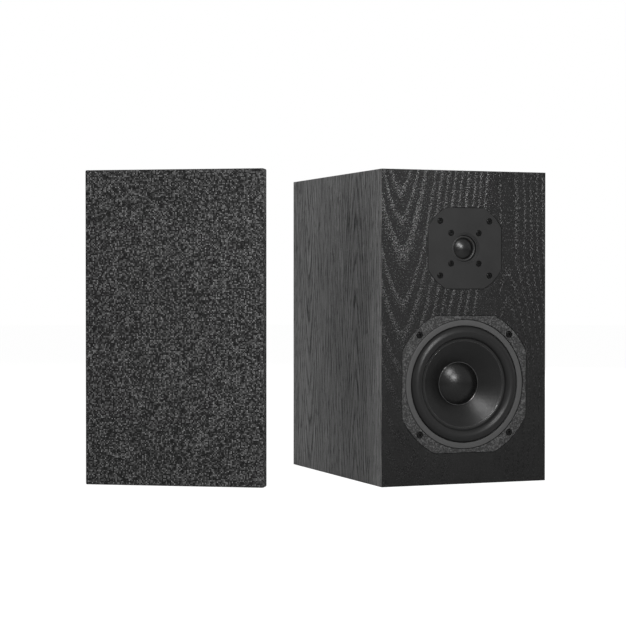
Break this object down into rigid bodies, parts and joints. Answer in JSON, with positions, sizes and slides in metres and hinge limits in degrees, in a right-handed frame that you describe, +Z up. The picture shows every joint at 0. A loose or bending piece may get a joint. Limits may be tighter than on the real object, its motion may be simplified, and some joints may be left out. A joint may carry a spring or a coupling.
{
  "type": "bookshelf speaker",
  "caption": "Two-way bookshelf speaker with a woven-cone woofer, dome tweeter, rear port, screw terminals and a lift-off cloth grille standing beside it.",
  "frame": {"origin": "centre of the cabinet's bottom face", "axes": "+X to the right seen from the front, +Y from the front face to the rear face, +Z up"},
  "size_m": [0.5411, 0.3076, 0.38],
  "materials": {
    "black_ash_veneer": "satin",
    "mdf": "matte",
    "damping_felt": "matte",
    "black_abs": "satin",
    "textured_black_metal": "matte",
    "grey_rubber_ring": "satin",
    "black_rubber": "satin",
    "woven_cone": "gloss",
    "gloss_black": "gloss",
    "polyimide_former": "satin",
    "copper_wire": "satin",
    "spider_cloth": "matte",
    "zinc_plated_steel": "satin",
    "ferrite": "matte",
    "black_screw": "satin",
    "foam_seal": "matte",
    "faceplate_black": "satin",
    "cream_plastic": "satin",
    "phenolic_board": "satin",
    "green_board": "satin",
    "white_nylon": "satin",
    "capacitor_sleeve": "satin",
    "white_ceramic": "matte",
    "wire_sheath": "satin",
    "brass_plated": "polished",
    "red_insulator": "satin",
    "tinned_steel": "satin",
    "red_plastic": "gloss",
    "black_plastic": "gloss",
    "plated_magnet": "satin",
    "grille_board": "matte",
    "grille_cloth": "matte"
  },
  "bodies": {
    "cabinet": {"left_side_panel": "black_ash_veneer", "right_side_panel": "black_ash_veneer", "top_panel": "black_ash_veneer", "bottom_panel": "black_ash_veneer", "back_panel": "black_ash_veneer", "front_baffle": "black_ash_veneer", "window_brace": "mdf", "side_damping": "damping_felt", "back_damping": "damping_felt", "port_tube": "black_abs", "woofer_basket": "textured_black_metal", "woofer_trim_ring": "grey_rubber_ring", "woofer_surround": "black_rubber", "woofer_spider": "spider_cloth", "woofer_top_plate": "zinc_plated_steel", "woofer_magnet": "ferrite", "woofer_back_plate": "zinc_plated_steel", "woofer_tinsel_leads": "copper_wire", "woofer_screws": "black_screw", "woofer_seal": "foam_seal", "tweeter_faceplate": "faceplate_black", "tweeter_diaphragm_ring": "cream_plastic", "tweeter_surround": "black_rubber", "tweeter_top_plate": "zinc_plated_steel", "tweeter_magnet": "ferrite", "tweeter_back_plate": "zinc_plated_steel", "tweeter_rear_chamber": "black_abs", "tweeter_mounting_screws": "black_screw", "tweeter_plate_screws": "black_screw", "tweeter_seal": "foam_seal", "driver_terminal_strips": "phenolic_board", "crossover_board": "green_board", "crossover_standoffs": "white_nylon", "small_wood_screws": "tinned_steel", "crossover_inductors": "copper_wire", "crossover_capacitors": "capacitor_sleeve", "crossover_resistors": "white_ceramic", "input_wires": "wire_sheath", "woofer_wires": "wire_sheath", "tweeter_wires": "wire_sheath", "terminal_cup": "black_abs", "terminal_cup_seal": "foam_seal", "binding_posts": "brass_plated", "post_bushings": "red_insulator", "post_nuts": "brass_plated", "solder_lugs": "tinned_steel", "baffle_magnets": "plated_magnet"},
    "woofer_moving": {"woofer_cone": "woven_cone", "woofer_dust_cap": "gloss_black", "woofer_coil_former": "polyimide_former", "woofer_voice_coil": "copper_wire"},
    "tweeter_moving": {"tweeter_dome": "gloss_black", "tweeter_voice_coil": "copper_wire"},
    "red_clamp": {"red_clamp_washer": "brass_plated"},
    "red_turning_knob": {"red_knob": "red_plastic"},
    "black_clamp": {"black_clamp_washer": "brass_plated"},
    "black_turning_knob": {"black_knob": "black_plastic"},
    "grille": {"grille_frame": "grille_board", "grille_cloth": "grille_cloth", "grille_magnets": "plated_magnet"}
  },
  "joints": [
    {"name": "woofer_stroke", "type": "slide", "parent": "cabinet", "child": "woofer_moving", "axis": [0, -1, 0], "range_m": [-0.006, 0.006], "stiffness_N_per_m": 1000, "deforming": ["woofer_surround", "woofer_spider", "woofer_tinsel_leads"]},
    {"name": "tweeter_stroke", "type": "slide", "parent": "cabinet", "child": "tweeter_moving", "axis": [0, -1, 0], "range_m": [-0.0005, 0.0005], "stiffness_N_per_m": 200, "deforming": ["tweeter_surround"]},
    {"name": "red_clamp_slide", "type": "slide", "parent": "cabinet", "child": "red_clamp", "axis": [0, 1, 0], "range_m": [0, 0.005]},
    {"name": "red_knob_turn", "type": "hinge", "parent": "red_clamp", "child": "red_turning_knob", "pos_m": [-0.00953, 0.146, 0.092], "axis": [0, 1, 0], "range_deg": [0, 1800]},
    {"name": "black_clamp_slide", "type": "slide", "parent": "cabinet", "child": "black_clamp", "axis": [0, 1, 0], "range_m": [0, 0.005]},
    {"name": "black_knob_turn", "type": "hinge", "parent": "black_clamp", "child": "black_turning_knob", "pos_m": [0.00953, 0.146, 0.092], "axis": [0, 1, 0], "range_deg": [0, 1800]},
    {"name": "grille_lift", "type": "slide", "parent": "cabinet", "child": "grille", "axis": [0, 0, 1], "range_m": [0, 0.25]}
  ],
  "couplings": [
    {"joint": "red_knob_turn", "follows": "red_clamp_slide", "rad_per_m": 6283.2},
    {"joint": "black_knob_turn", "follows": "black_clamp_slide", "rad_per_m": 6283.2}
  ]
}
